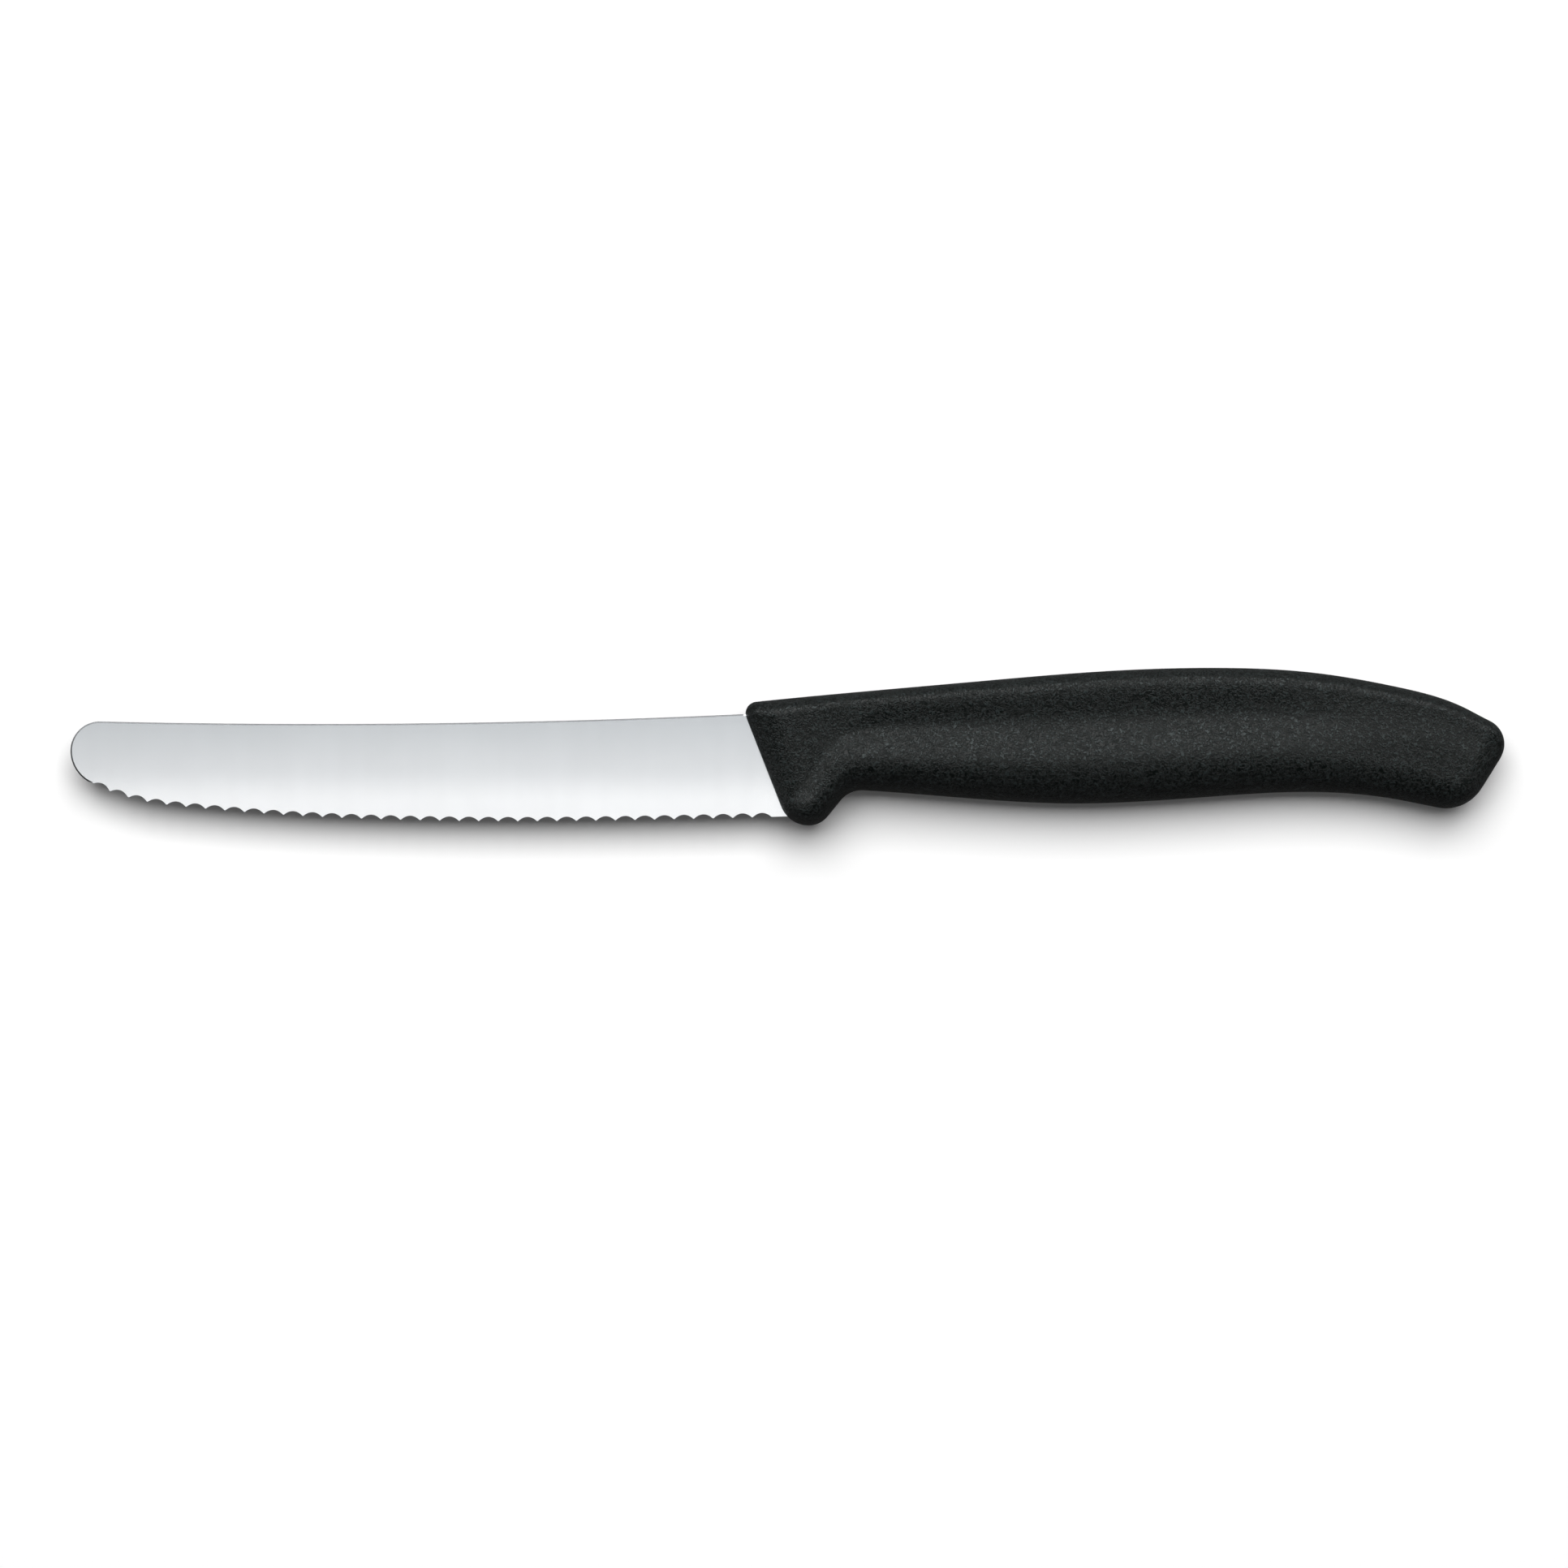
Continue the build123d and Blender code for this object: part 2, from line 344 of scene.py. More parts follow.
def lower_outline():
    """Handle's lower outline, from the front line to the butt line."""
    lobe = arc(lobe_centre, lobe_front_radius, 180 + front_slant, 90 - front_slant)
    rear = bend(lobe_point, 0, lobe_rear_radius, guard_flank_slope)
    flank_end = rear[-1] + direction(guard_flank_slope) * guard_flank
    notch = bend(flank_end, guard_flank_slope, notch_radius, -guard_flank_slope - notch_slope)
    belly = handle_points(belly_run_shares, belly_drop_shares, -belly_drop)
    hollow = handle_points(hollow_run_shares, hollow_drop_shares, -hollow_drop)
    foot_start = foot_centre + direction(-90 - butt_foot_slope) * butt_foot_radius
    under = smooth([notch[-1], *belly, *hollow, foot_start], -notch_slope, -butt_foot_slope)
    foot = arc(
        foot_centre,
        butt_foot_radius,
        -90 - butt_foot_slope,
        90 + butt_foot_slope - butt_slant,
    )
    return joined(lobe, rear, [rear[-1], flank_end], notch, under, foot)


def upper_outline():
    """Handle's upper outline, from the front line to the butt line."""
    corner = bend(
        front_top,
        90 + front_slant,
        front_corner_radius,
        front_spine_slope - 90 - front_slant,
    )
    spine = handle_points(spine_run_shares, spine_rise_shares, hump_rise)
    spine_end = butt_centre + direction(90 - butt_spine_slope) * butt_corner_radius
    back = smooth([corner[-1], *spine, spine_end], front_spine_slope, -butt_spine_slope)
    end = arc(
        butt_centre,
        butt_corner_radius,
        90 - butt_spine_slope,
        butt_spine_slope - butt_slant - 90,
    )
    return joined(corner, back, end)


# Fixed places of the blade
spine_y = axis_y + spine_heel_rise
edge_y = axis_y - edge_drop
tang_x = butt_x - tang_end_cover
grind_slope = (blade_thickness - edge_thickness) / 2 / (spine_y - edge_y)


def blade_lines():
    """Blade's rounded back, its edge line and the outline of its heel and tang."""
    tip_top = np.array((tip_x + tip_spine_radius, axis_y + spine_rise))
    waist = (
        tip_top[0] + spine_waist_share * (front_top[0] - tip_top[0]),
        axis_y + spine_waist_rise,
    )
    spine = smooth([(front_top[0], spine_y), waist, tip_top])
    nose = arc(tip_top - (0, tip_spine_radius), tip_spine_radius, 90, 90)
    tip = bend(nose[-1], -90, tip_edge_radius, tip_edge_sweep)
    start = tip[-1]
    depth = start[1] - axis_y + edge_drop
    edge = [
        (start[0] + run * (heel_x - start[0]), start[1] - drop * depth)
        for run, drop in zip(edge_run_shares, edge_drop_shares)
    ]
    heel = (heel_x, axis_y - heel_drop)
    edge = smooth([start, *edge, heel], tip_edge_sweep - 90, heel_slope)
    tang_foot = spine_y - tang_height
    tang = [
        heel,
        (heel_x + heel_run, tang_foot),
        (tang_x, tang_foot),
        (tang_x, spine_y),
        (front_top[0], spine_y),
    ]
    return joined(spine, nose, tip), edge, [np.array(point) for point in tang]


# Calls for node trees
class Nodes:
    """Adds nodes to a tree and joins them."""

    def __init__(self, tree):
        self.tree = tree

    def add(self, kind, values=None, **settings):
        """New node, with its settings and its inputs by name or number."""
        node = self.tree.nodes.new(kind)
        for name, value in settings.items():
            setattr(node, name, value)
        for name, value in (values or {}).items():
            self.put(node.inputs[name], value)
        return node

    def put(self, socket, value):
        """Joins a socket to an output, or sets its value."""
        if isinstance(value, bpy.types.NodeSocket):
            self.tree.links.new(value, socket)
        else:
            socket.default_value = value

    def math(self, operation, *values):
        """Result of a sum on numbers."""
        node = self.add("ShaderNodeMath", dict(enumerate(values)), operation=operation)
        return node.outputs[0]

    def vector(self, operation, *values):
        """Result of a sum on vectors."""
        node = self.add("ShaderNodeVectorMath", dict(enumerate(values)), operation=operation)
        return node.outputs[0]

    def scaled(self, vector, factor):
        """Vector times a number."""
        values = {0: vector, "Scale": factor}
        return self.add("ShaderNodeVectorMath", values, operation="SCALE").outputs[0]

    def measured(self, operation, *vectors):
        """Number that a sum on vectors gives."""
        node = self.add("ShaderNodeVectorMath", dict(enumerate(vectors)), operation=operation)
        return node.outputs["Value"]

    def upward(self, length):
        """Vector of a length along +Z."""
        return self.add("ShaderNodeCombineXYZ", {"Z": length}).outputs[0]

    def parts(self, vector):
        """X, Y and Z of a vector."""
        return self.add("ShaderNodeSeparateXYZ", {0: vector}).outputs

    def ramp(self, value, start, end):
        """Straight rise from 0 to 1 between two places."""
        values = {"Value": value, "From Min": start, "From Max": end}
        return self.add("ShaderNodeMapRange", values).outputs[0]

    def ease(self, value, start, end):
        """Smooth step from 0 to 1 between two places."""
        values = {"Value": value, "From Min": start, "From Max": end}
        node = self.add("ShaderNodeMapRange", values, interpolation_type="SMOOTHSTEP")
        return node.outputs[0]

    def mix(self, first, second, share):
        """Value a share of the way from the first to the second."""
        return self.add("ShaderNodeMix", {0: share, 2: first, 3: second}).outputs[0]

    def mix_vector(self, first, second, share):
        """Vector a share of the way from the first to the second."""
        node = self.add("ShaderNodeMix", {0: share, 4: first, 5: second}, data_type="VECTOR")
        return node.outputs[1]

    def mix_colour(self, first, second, share):
        """Colour a share of the way from the first to the second."""
        node = self.add("ShaderNodeMix", {0: share, 6: first, 7: second}, data_type="RGBA")
        return node.outputs[2]

    def place(self):
        """Place on the object."""
        return self.add("ShaderNodeTexCoord").outputs["Object"]

    def noise(self, place, scale, detail, fineness=0.5, twist=0.0):
        """Random pattern from 0 to 1."""
        values = {
            "Vector": place,
            "Scale": scale,
            "Detail": detail,
            "Roughness": fineness,
            "Distortion": twist,
        }
        return self.add("ShaderNodeTexNoise", values).outputs[0]

    def bump(self, height, distance, strength):
        """Normal of a surface with a fine relief."""
        values = {"Height": height, "Distance": distance, "Strength": strength}
        return self.add("ShaderNodeBump", values).outputs[0]


def geometry_tree(name, sizes):
    """Geometry node tree with named inputs, and its input and output nodes."""
    tree = bpy.data.node_groups.new(name, "GeometryNodeTree")
    tree.interface.new_socket("Geometry", in_out="INPUT", socket_type="NodeSocketGeometry")
    kinds = {
        float: "NodeSocketFloat",
        int: "NodeSocketInt",
        bpy.types.Object: "NodeSocketObject",
        bpy.types.Material: "NodeSocketMaterial",
        Vector: "NodeSocketVector",
    }
    for size, value in sizes.items():
        tree.interface.new_socket(size, in_out="INPUT", socket_type=kinds[type(value)])
    tree.interface.new_socket("Geometry", in_out="OUTPUT", socket_type="NodeSocketGeometry")
    nodes = Nodes(tree)
    given = nodes.add("NodeGroupInput").outputs
    result = nodes.add("NodeGroupOutput").inputs[0]
    return tree, nodes, given, result


def made_mesh(name, carrier, tree, sizes):
    """Plain mesh object that a geometry node tree makes from its carrier."""
    modifier = carrier.modifiers.new(tree.name, "NODES")
    modifier.node_group = tree
    for item in tree.interface.items_tree:
        if item.in_out == "INPUT" and item.name in sizes:
            modifier[item.identifier] = sizes[item.name]
    bpy.context.view_layer.update()
    graph = bpy.context.evaluated_depsgraph_get()
    mesh = bpy.data.meshes.new_from_object(carrier.evaluated_get(graph))
    mesh.name = name
    carrier.modifiers.remove(modifier)
    piece = bpy.data.objects.new(name, mesh)
    bpy.context.scene.collection.objects.link(piece)
    return piece


def line_object(name, lines):
    """Curve object with one straight-sided spline for each line of points."""
    curve = bpy.data.curves.new(name, "CURVE")
    curve.dimensions = "3D"
    for line in lines:
        spline = curve.splines.new("POLY")
        spline.points.add(len(line) - 1)
        for point, (x, y) in zip(spline.points, line):
            point.co = (x, y, blade_z, 1)
    carrier = bpy.data.objects.new(name, curve)
    bpy.context.scene.collection.objects.link(carrier)
    return carrier


# Handle
def round_rise(nodes, depth, reach):
    """Quarter circle from 0 at the edge to 1 at its reach."""
    left = nodes.math("SUBTRACT", 1, nodes.math("DIVIDE", depth, reach))
    left = nodes.math("MAXIMUM", left, 0)
    square = nodes.math("SUBTRACT", 1, nodes.math("MULTIPLY", left, left))
    return nodes.math("SQRT", nodes.math("MAXIMUM", square, 0))


def flank_half(nodes, given, share, level):
    """Half thickness of the handle, away from its front and its butt."""
    ridge_at = nodes.ease(level, plateau_level_share, ridge_level_share)
    plateau = nodes.mix(given["Plateau half"], given["Ridge half"], ridge_at)
    ridge_at = nodes.ease(level, butt_level_share, ridge_level_share)
    butt = nodes.mix(given["Butt half"], given["Ridge half"], ridge_at)
    valley_at = nodes.ease(level, bulge_level_share, valley_level_share)
    grip = nodes.mix(given["Grip half"], given["Valley half"], valley_at)
    ridge_at = nodes.ease(level, valley_level_share, ridge_level_share)
    grip = nodes.mix(grip, given["Ridge half"], ridge_at)
    lean = nodes.math("SUBTRACT", level, bulge_level_share)
    fall = nodes.math("MULTIPLY_ADD", lean, border_lean_share, border_share)
    fallen = nodes.ease(share, fall, nodes.math("ADD", fall, border_fall_share))
    half = nodes.mix(plateau, grip, fallen)
    half = nodes.mix(half, butt, nodes.ease(share, *butt_fade_shares))
    foot = nodes.ease(share, *foot_change_shares)
    foot_reach = nodes.mix(plateau_foot_share, grip_foot_share, foot)
    foot_rise = round_rise(nodes, level, foot_reach)
    spine_fall = round_rise(nodes, nodes.math("SUBTRACT", 1, level), spine_round_share)
    return nodes.math("MULTIPLY", half, nodes.math("MULTIPLY", foot_rise, spine_fall))


def end_fullness(nodes, given, middle):
    """How full a section is near an end of the handle, from 0 to 1."""
    front_way = nodes.vector("SUBTRACT", middle, given["Front middle"])
    front_depth = nodes.measured("DOT_PRODUCT", front_way, given["Front direction"])
    butt_way = nodes.vector("SUBTRACT", middle, given["Butt middle"])
    butt_depth = nodes.measured("DOT_PRODUCT", butt_way, given["Butt direction"])
    return nodes.math(
        "MULTIPLY",
        round_rise(nodes, front_depth, given["Nose radius"]),
        round_rise(nodes, butt_depth, given["Butt radius"]),
    )


def slot_rim_half(nodes, given, level):
    """Half thickness of the thin rim at an end of the handle."""
    rim = nodes.math(
        "MULTIPLY",
        round_rise(nodes, level, slot_round_share),
        round_rise(nodes, nodes.math("SUBTRACT", 1, level), slot_round_share),
    )
    return nodes.math("MULTIPLY", rim, given["Slot half"])


def handle_tree(sizes):
    """Tree that spans the moulded handle between its lower and its upper outline."""
    tree, nodes, given, result = geometry_tree("handle_moulding", sizes)
    net = nodes.add("GeometryNodeMeshGrid", {
        "Size X": 1.0,
        "Size Y": 1.0,
        "Vertices X": nodes.math("ADD", given["Sections"], 3),
        "Vertices Y": nodes.math("ADD", given["Ring points"], 1),
    })
    place = nodes.parts(nodes.add("GeometryNodeInputPosition").outputs[0])
    along = nodes.math("ADD", place["X"], 0.5)
    around = nodes.math("ADD", place["Y"], 0.5)

    # The first and the last row close the ends, the others follow the outline
    row = nodes.math("MULTIPLY", along, nodes.math("ADD", given["Sections"], 2))
    run = nodes.math("DIVIDE", nodes.math("SUBTRACT", row, 1), given["Sections"])
    inner = nodes.math("MINIMUM", nodes.math("MAXIMUM", run, 0), 1)
    open_row = nodes.math("COMPARE", run, inner, row_tolerance)
    cosine = nodes.math("COSINE", nodes.math("MULTIPLY", inner, pi))
    share = nodes.math("MULTIPLY_ADD", cosine, -0.5, 0.5)
    cosine = nodes.math("COSINE", nodes.math("MULTIPLY", around, 2 * pi))
    level = nodes.math("MULTIPLY_ADD", cosine, -0.5, 0.5)
    side = nodes.math("SIGN", nodes.math("SUBTRACT", 0.5, around))

    def on_outline(number):
        sample = nodes.add(
            "GeometryNodeSampleCurve",
            {"Curves": given["Geometry"], "Factor": share, "Curve Index": number},
            mode="FACTOR",
            use_all_curves=False,
        )
        return sample.outputs["Position"]

    foot = on_outline(0)
    top = on_outline(1)
    fullness = end_fullness(nodes, given, nodes.mix_vector(foot, top, 0.5))
    rim = slot_rim_half(nodes, given, level)
    half = nodes.mix(rim, flank_half(nodes, given, share, level), fullness)
    half = nodes.math("MULTIPLY", nodes.math("MULTIPLY", half, side), open_row)
    position = nodes.vector("ADD", nodes.mix_vector(foot, top, level), nodes.upward(half))

    stored = nodes.add(
        "GeometryNodeSetPosition", {"Geometry": net.outputs[0], "Position": position}
    )
    for attribute, value in (("share", share), ("level", level)):
        stored = nodes.add(
            "GeometryNodeStoreNamedAttribute",
            {"Geometry": stored.outputs[0], "Name": attribute, "Value": value},
            data_type="FLOAT",
            domain="POINT",
        )
    closed = nodes.add(
        "GeometryNodeMergeByDistance",
        {"Geometry": stored.outputs[0], "Distance": joining_distance},
    )
    shaded = nodes.add("GeometryNodeSetShadeSmooth", {"Geometry": closed.outputs[0]})
    real = nodes.add("GeometryNodeRealizeInstances", {0: shaded.outputs[0]})
    painted = nodes.add(
        "GeometryNodeSetMaterial", {"Geometry": real.outputs[0], "Material": given["Plastic"]}
    )
    nodes.put(result, painted.outputs[0])
    return tree


def flat(point):
    """Point of the blade's plane as a vector of the frame."""
    return Vector((point[0], point[1], blade_z))


def make_handle(plastic):
    """Moulded handle, from the two outlines and the sizes of its flanks."""
    outlines = line_object("handle_outlines", [lower_outline(), upper_outline()])
    sizes = {
        "Sections": handle_sections,
        "Ring points": handle_ring,
        "Plateau half": plateau_half,
        "Ridge half": ridge_half,
        "Valley half": valley_half,
        "Grip half": grip_half,
        "Butt half": butt_half,
        "Slot half": slot_half,
        "Nose radius": nose_radius,
        "Butt radius": butt_radius,
        "Front middle": flat((front_foot + front_top) / 2),
        "Front direction": Vector((*direction(front_slant), 0)),
        "Butt middle": flat((butt_foot + butt_top) / 2),
        "Butt direction": Vector((*-direction(-butt_slant), 0)),
        "Plastic": plastic,
    }
    handle = made_mesh("handle_moulding", outlines, handle_tree(sizes), sizes)
    bpy.data.objects.remove(outlines)
    return handle


# Blade
def make_slab(back, edge, tang):
    """Ground slab of the blade and its tang, with rounded edges along its back."""
    outline = joined(back, edge, tang)[:-1]
    count = len(outline)
    vertices = []
    for side in (1, -1):
        for x, y in outline:
            half = edge_thickness / 2 + (y - edge_y) * grind_slope
            vertices.append((x, y, blade_z + side * half))
    faces = [tuple(range(count)), tuple(range(2 * count - 1, count - 1, -1))]
    for i in range(count):
        after = (i + 1) % count
        faces.append((after, i, i + count, after + count))
    mesh = bpy.data.meshes.new("blade_slab")
    mesh.from_pydata(vertices, [], faces)
    weights = mesh.attributes.new("bevel_weight_edge", "FLOAT", "EDGE")
    for line in mesh.edges:
        first, second = sorted(line.vertices)
        level = first // count == second // count
        if level and second % count < len(back):
            weights.data[line.index].value = 1
    slab = bpy.data.objects.new("blade_slab", mesh)
    bpy.context.scene.collection.objects.link(slab)
    rounding = slab.modifiers.new("back_rounding", "BEVEL")
    rounding.width = spine_round
    rounding.segments = spine_round_steps
    rounding.limit_method = "WEIGHT"
    rounding.use_clamp_overlap = False
    return slab


def flute_wheels(nodes, given):
    """Cylinders that lean along the edge line, one at each tooth."""
    line = nodes.add("GeometryNodeObjectInfo", {"Object": given["Edge line"]})
    line = line.outputs["Geometry"]
    length = nodes.add("GeometryNodeCurveLength", {0: line}).outputs[0]
    fluted = nodes.math("SUBTRACT", length, given["Plain heel"])
    count = nodes.math("ROUND", nodes.math("DIVIDE", fluted, given["Pitch"]))
    place = nodes.math("ADD", nodes.add("GeometryNodeInputIndex").outputs[0], 0.5)
    sample = nodes.add(
        "GeometryNodeSampleCurve",
        {"Curves": line, "Length": nodes.math("MULTIPLY", place, given["Pitch"])},
        mode="LENGTH",
    )

    # The root of a flute lies on the upper face, and the cylinder sinks away from it
    along = sample.outputs["Tangent"]
    inward = nodes.vector("CROSS_PRODUCT", (0, 0, 1), along)
    depth = nodes.scaled(inward, given["Depth"])
    root = nodes.vector("ADD", sample.outputs["Position"], depth)
    height = nodes.math("SUBTRACT", nodes.parts(root)["Y"], edge_y)
    half = nodes.math("MULTIPLY_ADD", height, grind_slope, edge_thickness / 2)
    root = nodes.vector("ADD", root, nodes.upward(half))
    sine = nodes.math("SINE", given["Bevel"])
    cosine = nodes.math("COSINE", given["Bevel"])
    axis = nodes.vector("SUBTRACT", nodes.scaled(inward, cosine), nodes.upward(sine))
    normal = nodes.vector("ADD", nodes.scaled(inward, sine), nodes.upward(cosine))
    centre = nodes.vector("SUBTRACT", root, nodes.scaled(normal, given["Radius"]))
    turn = nodes.add(
        "FunctionNodeAxesToRotation",
        {"Primary Axis": axis, "Secondary Axis": along},
        primary_axis="Z",
        secondary_axis="X",
    )
    points = nodes.add("GeometryNodePoints", {"Count": count, "Position": centre})
    wheel = nodes.add(
        "GeometryNodeMeshCylinder",
        {"Vertices": flute_sides, "Radius": given["Radius"], "Depth": given["Run"]},
    )
    wheels = nodes.add(
        "GeometryNodeInstanceOnPoints",
        {
            "Points": points.outputs[0],
            "Instance": wheel.outputs[0],
            "Rotation": turn.outputs[0],
        },
    )
    return wheels.outputs[0]


def blade_tree(sizes):
    """Tree that grinds a flute across the slab's lower face at each tooth."""
    tree, nodes, given, result = geometry_tree("wavy_edge", sizes)
    cut = nodes.add(
        "GeometryNodeMeshBoolean",
        {
            "Mesh 1": given["Geometry"],
            "Mesh 2": flute_wheels(nodes, given),
            "Self Intersection": True,
        },
        operation="DIFFERENCE",
        solver="EXACT",
    )
    angle = nodes.add("GeometryNodeInputMeshEdgeAngle").outputs["Unsigned Angle"]
    soft = nodes.math("LESS_THAN", angle, given["Crease angle"])
    shaded = nodes.add(
        "GeometryNodeSetShadeSmooth",
        {"Geometry": cut.outputs[0], "Shade Smooth": soft},
        domain="EDGE",
    )
    real = nodes.add("GeometryNodeRealizeInstances", {0: shaded.outputs[0]})
    painted = nodes.add(
        "GeometryNodeSetMaterial", {"Geometry": real.outputs[0], "Material": given["Steel"]}
    )
    # Painted shade: the rounded back gets the dark edge material
    back = nodes.add("GeometryNodeObjectInfo", {"Object": given["Back line"]})
    wire = nodes.add("GeometryNodeCurveToMesh", {0: back.outputs["Geometry"]})
    near = nodes.add("GeometryNodeProximity", {0: wire.outputs[0]}, target_element="EDGES")
    painted_shade_on_back = nodes.math("LESS_THAN", near.outputs["Distance"], given["Painted shade reach"])
    edge_with_painted_shade = nodes.add(
        "GeometryNodeSetMaterial",
        {
            "Geometry": painted.outputs[0],
            "Selection": painted_shade_on_back,
            "Material": given["Painted shade edge"],
        },
    )
    nodes.put(result, edge_with_painted_shade.outputs[0])
    return tree


def make_blade(steel, painted_shade_edge):
    """Blade with its wavy edge and its tang."""
    back, edge, tang = blade_lines()
    slab = make_slab(back, edge, tang)
    edge_line = line_object("edge_line", [edge])
    back_line = line_object("back_line", [back])
    rise = flute_depth * sin(radians(flute_bevel))
    chord_half = (tooth_pitch - tooth_land) / 2
    sizes = {
        "Edge line": edge_line,
        "Back line": back_line,
        "Painted shade reach": painted_shade_reach,
        "Pitch": tooth_pitch,
        "Plain heel": plain_heel,
        "Depth": flute_depth,
        "Bevel": radians(flute_bevel),
        "Radius": (chord_half**2 + rise**2) / (2 * rise),
        "Run": 2 * (blade_thickness / sin(radians(flute_bevel)) + blade_thickness),
        "Crease angle": radians(crease_angle),
        "Steel": steel,
        "Painted shade edge": painted_shade_edge,
    }
    blade = made_mesh("ground_blade", slab, blade_tree(sizes), sizes)
    bpy.data.objects.remove(slab)
    bpy.data.objects.remove(edge_line)
    bpy.data.objects.remove(back_line)
    return blade


# Finishes
def new_material(name, slot_values):
    """Material whose shader has set values, its nodes and its shader."""
    material = bpy.data.materials.new(name)
    material.use_nodes = True
    nodes = Nodes(material.node_tree)
    shader = material.node_tree.nodes["Principled BSDF"]
    for socket, value in slot_values.items():
        shader.inputs[socket].default_value = value
    return material, nodes, shader


def smudge_group():
    """Group for the faint unevenness that handling leaves on a smooth surface."""
    tree = bpy.data.node_groups.new("handling_marks", "ShaderNodeTree")
    for name in ("Size", "Middle", "Spread"):
        tree.interface.new_socket(name, in_out="INPUT", socket_type="NodeSocketFloat")
    tree.interface.new_socket("Roughness", in_out="OUTPUT", socket_type="NodeSocketFloat")
    nodes = Nodes(tree)
    given = nodes.add("NodeGroupInput").outputs
    result = nodes.add("NodeGroupOutput").inputs
    scale = nodes.math("DIVIDE", 1, given["Size"])
    marks = nodes.noise(nodes.place(), scale, mark_detail, mark_fineness)
    uneven = nodes.math("SUBTRACT", marks, 0.5)
    roughness = nodes.math("MULTIPLY_ADD", uneven, given["Spread"], given["Middle"])
    nodes.put(result["Roughness"], roughness)
    return tree


def handled_roughness(nodes, smudges, marks):
    """Roughness of a finish with its handling marks."""
    node = nodes.add("ShaderNodeGroup", node_tree=smudges)
    for name, value in zip(("Size", "Middle", "Spread"), marks):
        node.inputs[name].default_value = value
    return node.outputs["Roughness"]


def drawn_out(nodes, width, length, detail):
    """Random pattern that is drawn out along the wheel's way, from spine to edge."""
    place = nodes.vector("MULTIPLY", nodes.place(), (1 / width, 1 / length, 1 / width))
    return nodes.noise(place, 1.0, detail)


def make_ground_steel(smudges):
    """Stainless steel, cross ground from the spine to the edge, with a painted reflection that is
    dim at the spine and bright towards the edge.
    """
    material, nodes, shader = new_material("ground_steel", {"Metallic": 1.0})
    # Painted reflection: the colour brightens from the spine down to the edge
    height = nodes.parts(nodes.place())["Y"]
    painted_reflection_ramp = nodes.ramp(height, spine_rise, painted_reflection_ramp_end)
    painted_reflection_ease = nodes.ease(height, *painted_reflection_ease_heights)
    painted_reflection = nodes.mix(painted_reflection_ramp, painted_reflection_ease, painted_reflection_ease_share)
    colour = nodes.mix_colour(spine_steel_painted_dim, edge_steel_painted_bright, painted_reflection)
    strokes = drawn_out(nodes, stroke_width, stroke_length, stroke_detail)
    bands = drawn_out(nodes, band_width, band_length, band_detail)
    uneven = nodes.math("ADD", strokes, bands)
    streak = nodes.math("MULTIPLY_ADD", uneven, streak_contrast, 1 - streak_contrast)
    relief = nodes.bump(strokes, stroke_bump, stroke_bump_strength)
    nodes.put(shader.inputs["Base Color"], nodes.scaled(colour, streak))
    nodes.put(shader.inputs["Roughness"], handled_roughness(nodes, smudges, steel_marks))
    nodes.put(shader.inputs["Normal"], relief)
    return material


def make_painted_shade_edge_steel(smudges):
    """Stamped and rounded edge of the blade's back, its colour darkened as a painted dark
    reflection.
    """
    material, nodes, shader = new_material("stamped_edge_painted_shade", {"Metallic": 1.0})
    spots = nodes.noise(nodes.place(), 1 / stamped_spot, stamped_detail)
    # Painted shade: the back's dark colour stands in for the dark reflection of its rounding
    colour = nodes.mix_colour(darkest_painted_shade_steel, palest_painted_shade_steel, spots)
    relief = nodes.bump(spots, stamped_bump, stamped_bump_strength)
    nodes.put(shader.inputs["Base Color"], colour)
    nodes.put(shader.inputs["Roughness"], handled_roughness(nodes, smudges, stamped_marks))
    nodes.put(shader.inputs["Normal"], relief)
    return material


def grain_and_glint_places(nodes):
    """1 where the mould is grained and its painted glints show, 0 at the handle's front, its foot
    and its lower butt.
    """
    share = nodes.add("ShaderNodeAttribute", attribute_name="share").outputs["Fac"]
    level = nodes.add("ShaderNodeAttribute", attribute_name="level").outputs["Fac"]
    behind_front = nodes.ease(share, *grain_front_shares)
    above_foot = nodes.ease(level, *grain_foot_levels)
    near_butt = nodes.ease(share, *smooth_butt_shares)
    low = nodes.ease(level, *smooth_butt_levels)
    off_butt = nodes.math("SUBTRACT", 1, nodes.math("MULTIPLY", near_butt, low))
    return nodes.math("MULTIPLY", nodes.math("MULTIPLY", behind_front, above_foot), off_butt)


def make_black_plastic(smudges):
    """Black polypropylene with the mould's fine worm-like grain, and painted glints on it."""
    material, nodes, shader = new_material(
        "black_grained_plastic",
        {"Specular IOR Level": plastic_specular, "IOR": plastic_ior},
    )
    grain_and_glints = grain_and_glint_places(nodes)
    worms = nodes.noise(
        nodes.place(), 1 / grain_size, grain_detail, grain_fineness, grain_twist
    )
    ridges = nodes.math("MULTIPLY", nodes.ease(worms, *grain_ridges), grain_and_glints)
    # Painted highlight: paler specks in the colour stand in for glints of light on the grain
    painted_glints = nodes.math("MULTIPLY", nodes.ease(worms, *grain_painted_glints), grain_and_glints)
    smooth_roughness = handled_roughness(nodes, smudges, plastic_marks)
    roughness = nodes.math("MULTIPLY_ADD", grain_and_glints, grain_roughness, smooth_roughness)
    colour = nodes.mix_colour(plastic_ground, plastic_painted_glint, painted_glints)
    nodes.put(shader.inputs["Base Color"], colour)
    nodes.put(shader.inputs["Roughness"], roughness)
    nodes.put(shader.inputs["Normal"], nodes.bump(ridges, grain_height, 1.0))
    return material


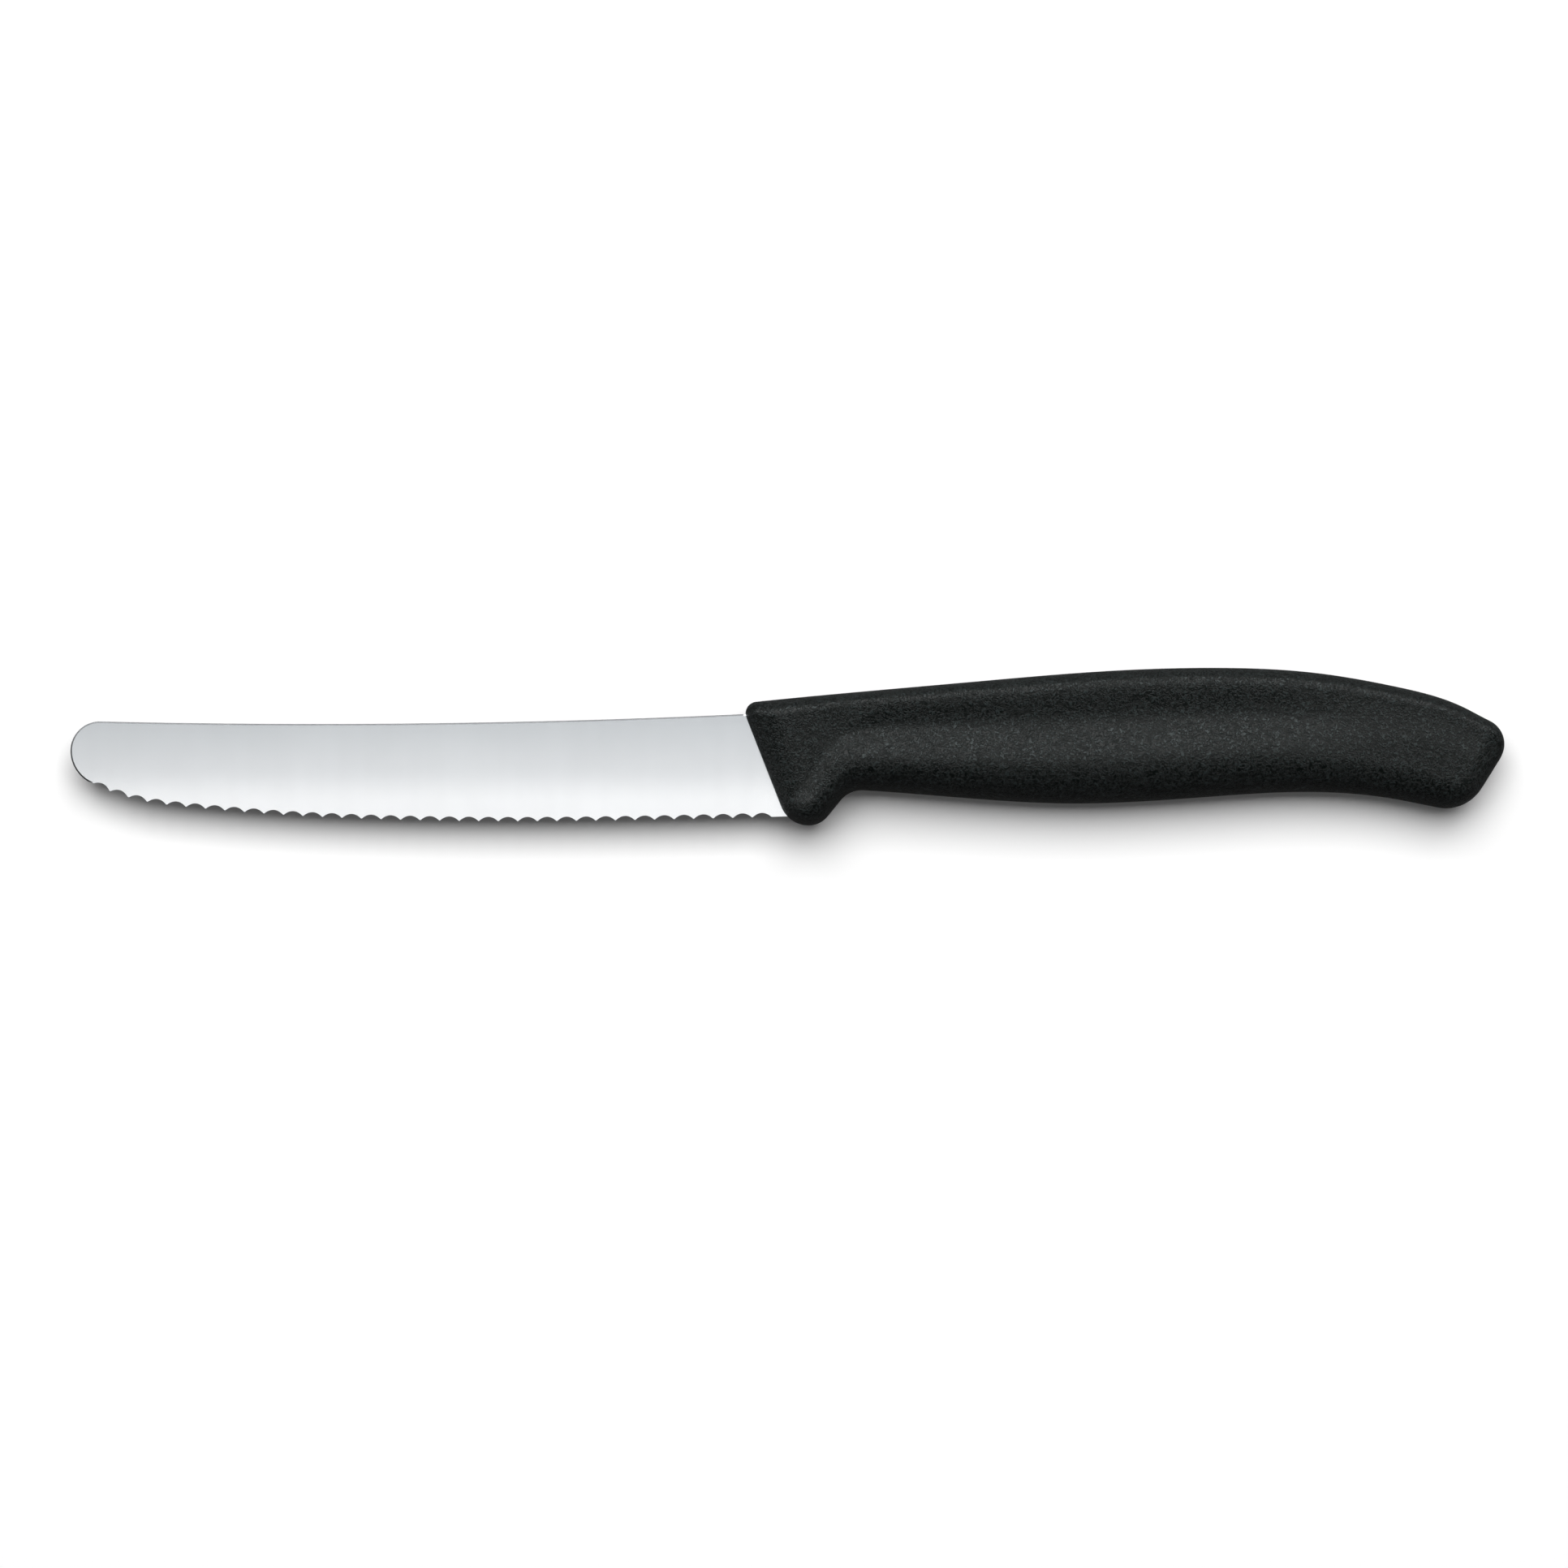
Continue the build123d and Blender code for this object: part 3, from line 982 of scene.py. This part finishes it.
def make_studio_sheet():
    """Matt white sheet under the knife, painted dark in what a shine mirrors, which glows to the
    camera far from the knife.
    """
    material, nodes, shader = new_material(
        "studio_sheet", {"Emission Color": (1.0, 1.0, 1.0, 1.0), "Specular IOR Level": 0.0}
    )
    place = nodes.place()
    fibres = nodes.noise(place, fibre_scale, fibre_detail)
    roughness = nodes.math("MULTIPLY_ADD", fibres, fibre_roughness, sheet_roughness)
    path = nodes.add("ShaderNodeLightPath").outputs
    # Painted shade: shines see the sheet dark, which darkens the handle's lower side
    paleness = nodes.mix(sheet_paleness, mirrored_sheet_painted_shade, path["Is Glossy Ray"])
    far = nodes.ease(nodes.measured("LENGTH", place), *sheet_glow_distances)
    glow = nodes.math("MULTIPLY_ADD", far, sheet_far_glow, sheet_near_glow)
    glow = nodes.math("MULTIPLY", path["Is Camera Ray"], glow)
    nodes.put(shader.inputs["Base Color"], paleness)
    nodes.put(shader.inputs["Roughness"], roughness)
    nodes.put(shader.inputs["Emission Strength"], glow)
    return material


# Studio
def make_floor(level, sheet):
    """Wide pale floor that the knife rests on."""
    corners = [
        (x * sheet_reach, y * sheet_reach, level)
        for x, y in ((-1, -1), (1, -1), (1, 1), (-1, 1))
    ]
    mesh = bpy.data.meshes.new("floor")
    mesh.from_pydata(corners, [], [(0, 1, 2, 3)])
    mesh.materials.append(sheet)
    floor = bpy.data.objects.new("floor", mesh)
    bpy.context.scene.collection.objects.link(floor)


def add_key_lamp():
    """Soft box above the knife, turned to its middle and left out of what a shine mirrors."""
    lamp = bpy.data.lights.new("key_soft_box", "AREA")
    lamp.shape = "RECTANGLE"
    lamp.size = key_width
    lamp.size_y = key_depth
    lamp.energy = key_power
    tilt = radians(key_tilt)
    place = Vector((0, key_distance * sin(tilt), key_distance * cos(tilt)))
    holder = bpy.data.objects.new("key_soft_box", lamp)
    holder.location = place
    holder.rotation_euler = (-place).to_track_quat("-Z", "Y").to_euler()
    holder.visible_glossy = False
    bpy.context.scene.collection.objects.link(holder)


def light_world():
    """Even light from all round, and what a shine mirrors: white, a window and walls."""
    world = bpy.data.worlds.new("studio")
    world.use_nodes = True
    nodes = Nodes(world.node_tree)
    light = world.node_tree.nodes["Background"]
    light.inputs["Color"].default_value = (1.0, 1.0, 1.0, 1.0)
    way = nodes.parts(nodes.add("ShaderNodeTexCoord").outputs["Generated"])
    dark_side = nodes.ease(way["Y"], *dark_low_wall_y)
    low_walls = nodes.mix(low_wall_light, dark_low_wall_light, dark_side)
    mirrored = nodes.mix(low_walls, wall_light, nodes.ease(way["Z"], *wall_z))
    mirrored = nodes.mix(mirrored, background_light, nodes.ease(way["Z"], *overhead_z))
    pane = nodes.math(
        "MULTIPLY", nodes.ease(way["Y"], *window_y), nodes.ease(way["Z"], *window_z)
    )
    mirrored = nodes.math("MULTIPLY_ADD", pane, window_light, mirrored)
    path = nodes.add("ShaderNodeLightPath").outputs
    strength = nodes.mix(fill_light, mirrored, path["Is Glossy Ray"])
    seen = nodes.math("MAXIMUM", path["Is Camera Ray"], path["Is Transmission Ray"])
    nodes.put(light.inputs["Strength"], nodes.mix(strength, background_light, seen))
    bpy.context.scene.world = world


def place_camera():
    """Long lens straight above the knife, framed as the photograph is."""
    view = bpy.data.cameras.new("camera")
    view.sensor_width = camera_sensor
    view.lens = camera_lens
    width = picture_pixels * pixel
    distance = width * view.lens / view.sensor_width
    camera = bpy.data.objects.new("camera", view)
    camera.location = (
        (picture_pixels / 2 - origin_column) * pixel,
        (origin_row - picture_pixels / 2) * pixel,
        blade_z + distance,
    )
    bpy.context.scene.collection.objects.link(camera)
    bpy.context.scene.camera = camera


handling_marks = smudge_group()
ground_steel = make_ground_steel(handling_marks)
painted_shade_edge_steel = make_painted_shade_edge_steel(handling_marks)
black_plastic = make_black_plastic(handling_marks)

ground_blade = make_blade(ground_steel, painted_shade_edge_steel)
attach(ground_blade, "root")
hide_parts("blade")

moulded_handle = make_handle(black_plastic)
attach(moulded_handle, "root")
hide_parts("handle")

make_floor(cad_box[0][2], make_studio_sheet())
add_key_lamp()
light_world()
place_camera()

bpy.context.scene.view_settings.view_transform = "Standard"
